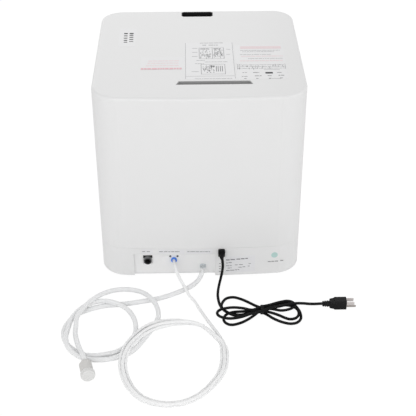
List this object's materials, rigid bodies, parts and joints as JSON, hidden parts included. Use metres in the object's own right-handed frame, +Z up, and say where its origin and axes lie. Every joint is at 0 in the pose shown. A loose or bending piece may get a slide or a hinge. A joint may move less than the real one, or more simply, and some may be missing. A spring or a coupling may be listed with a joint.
{
  "type": "countertop dishwasher",
  "caption": "White countertop dishwasher with a drop-down window door, sliding wire rack, top filler, rear ports, hoses and mains lead.",
  "frame": {"origin": "centre of the body footprint on the surface it stands on", "axes": "+Z up, door faces -Y, bowed back with its ports faces +Y"},
  "size_m": [0.608, 0.815, 0.4392],
  "materials": {
    "white_body": "satin moulded white",
    "white_trim": "fine matt",
    "black_gloss": "gloss black",
    "button": "satin metal",
    "board": "green board",
    "liner": "fine matt grey",
    "glass": "clear tempered",
    "seal": "matt rubber",
    "steel": "satin",
    "grey_plastic": "matt grey",
    "dark_plastic": "matt dark grey",
    "rotor": "matt grey",
    "tub_steel": "brushed",
    "filter": "matt slate",
    "rack": "nylon-coated wire",
    "basket": "matt grey",
    "tank": "milky",
    "filler": "black",
    "vent": "mid grey",
    "foot": "matt rubber",
    "screw": "dark zinc",
    "label": "satin film",
    "port": "dark moulded thread",
    "collet": "blue",
    "stub": "grey",
    "cord": "black satin",
    "plug": "black moulded, plated blades",
    "hose": "milky translucent",
    "sleeve": "beige-grey satin",
    "nut": "white ribbed"
  },
  "bodies": {
    "cabinet": {"base_housing": "white_body", "rear_panel": "white_trim", "hood": "white_body", "front_frame": "white_trim", "control_panel": "black_gloss", "control_board": "board", "latch_case": "dark_plastic", "hinge_pins": "steel", "tub": "tub_steel", "sump": "grey_plastic", "spray_hub": "grey_plastic", "riser_pipe": "grey_plastic", "heater": "steel", "wash_pump": "dark_plastic", "drain_pump": "dark_plastic", "pipework": "grey_plastic", "blower_housing": "dark_plastic", "rack_rails": "white_trim", "water_tank": "tank", "filler_mouth": "filler", "vent_insert": "vent", "inlet_valve": "dark_plastic", "feet": "foot", "screws": "screw", "labels": "label", "inlet_stub": "port", "drain_stub": "stub", "cord_grip": "cord", "power_cord": "cord", "cord_hank": "cord", "cord_tie": "cord", "plug": "plug", "thin_hose": "hose", "thin_coil": "hose", "drain_hose": "hose", "drain_coil": "hose", "hose_sleeve": "sleeve"},
    "door": {"door_outer": "white_body", "door_inner": "liner", "door_glass": "glass", "door_seal": "seal", "door_hook": "steel"},
    "detergent_lid": {"detergent_slide": "grey_plastic"},
    "power_key": {"power_button": "button"},
    "program_key": {"program_button": "button"},
    "dry_key": {"dry_button": "button"},
    "start_key": {"start_button": "button"},
    "latch": {"latch_plunger": "steel"},
    "rack": {"rack_basket": "rack", "cutlery_basket": "basket"},
    "shelf": {"cup_shelf": "rack"},
    "filter": {"filter_basket": "filter"},
    "float": {"float_bell": "white_trim"},
    "lower_arm": {"lower_spray_arm": "grey_plastic"},
    "upper_arm": {"upper_spray_arm": "grey_plastic"},
    "wash_rotor": {"wash_impeller": "rotor"},
    "drain_rotor": {"drain_impeller": "rotor"},
    "fan": {"blower_wheel": "rotor"},
    "collet": {"push_collet": "collet"},
    "end_nut": {"hose_nut": "nut"}
  },
  "joints": [
    {"name": "door_hinge", "type": "hinge", "parent": "cabinet", "child": "door", "pos_m": [0, -0.205, 0.09], "axis": [1, 0, 0], "range_deg": [0, 90]},
    {"name": "rack_slide", "type": "slide", "parent": "cabinet", "child": "rack", "axis": [0, -1, 0], "range_m": [0, 0.105]},
    {"name": "detergent_slide", "type": "slide", "parent": "door", "child": "detergent_lid", "axis": [1, 0, 0], "range_m": [0, 0.066]},
    {"name": "latch_slide", "type": "slide", "parent": "cabinet", "child": "latch", "axis": [1, 0, 0], "range_m": [0, 0.003], "stiffness_N_per_m": 300},
    {"name": "shelf_fold", "type": "hinge", "parent": "cabinet", "child": "shelf", "pos_m": [-0.164, 0, 0.262], "axis": [0, -1, 0], "range_deg": [0, 85]},
    {"name": "filter_twist", "type": "hinge", "parent": "cabinet", "child": "filter", "pos_m": [0, -0.095, 0.1], "axis": [0, 0, 1], "range_deg": [0, 60]},
    {"name": "float_lift", "type": "slide", "parent": "cabinet", "child": "float", "axis": [0, 0, 1], "range_m": [0, 0.006]},
    {"name": "lower_arm_spin", "type": "hinge", "parent": "cabinet", "child": "lower_arm", "pos_m": [0, 0, 0.122], "axis": [0, 0, 1], "continuous": true},
    {"name": "upper_arm_spin", "type": "hinge", "parent": "cabinet", "child": "upper_arm", "pos_m": [0, 0, 0.326], "axis": [0, 0, 1], "continuous": true},
    {"name": "wash_rotor_spin", "type": "hinge", "parent": "cabinet", "child": "wash_rotor", "pos_m": [0, 0, 0.07], "axis": [0, 0, 1], "continuous": true},
    {"name": "drain_rotor_spin", "type": "hinge", "parent": "cabinet", "child": "drain_rotor", "pos_m": [0.06, -0.095, 0.067], "axis": [1, 0, 0], "continuous": true},
    {"name": "fan_spin", "type": "hinge", "parent": "cabinet", "child": "fan", "pos_m": [-0.09, 0.17, 0.274], "axis": [0, 1, 0], "continuous": true},
    {"name": "collet_push", "type": "slide", "parent": "cabinet", "child": "collet", "axis": [0, -1, 0], "range_m": [0, 0.0015], "stiffness_N_per_m": 300},
    {"name": "nut_spin", "type": "hinge", "parent": "cabinet", "child": "end_nut", "pos_m": [0.2298, 0.4915, 0.014], "axis": [-0.2419, 0.9703, 0], "continuous": true},
    {"name": "power_press", "type": "slide", "parent": "cabinet", "child": "power_key", "axis": [0, 1, 0], "range_m": [0, 0.0012], "stiffness_N_per_m": 300},
    {"name": "program_press", "type": "slide", "parent": "cabinet", "child": "program_key", "axis": [0, 1, 0], "range_m": [0, 0.0012], "stiffness_N_per_m": 300},
    {"name": "dry_press", "type": "slide", "parent": "cabinet", "child": "dry_key", "axis": [0, 1, 0], "range_m": [0, 0.0012], "stiffness_N_per_m": 300},
    {"name": "start_press", "type": "slide", "parent": "cabinet", "child": "start_key", "axis": [0, 1, 0], "range_m": [0, 0.0012], "stiffness_N_per_m": 300}
  ],
  "couplings": [
    {"joint": "rack_slide", "follows": "door_hinge", "m_per_rad": 0.0668}
  ]
}
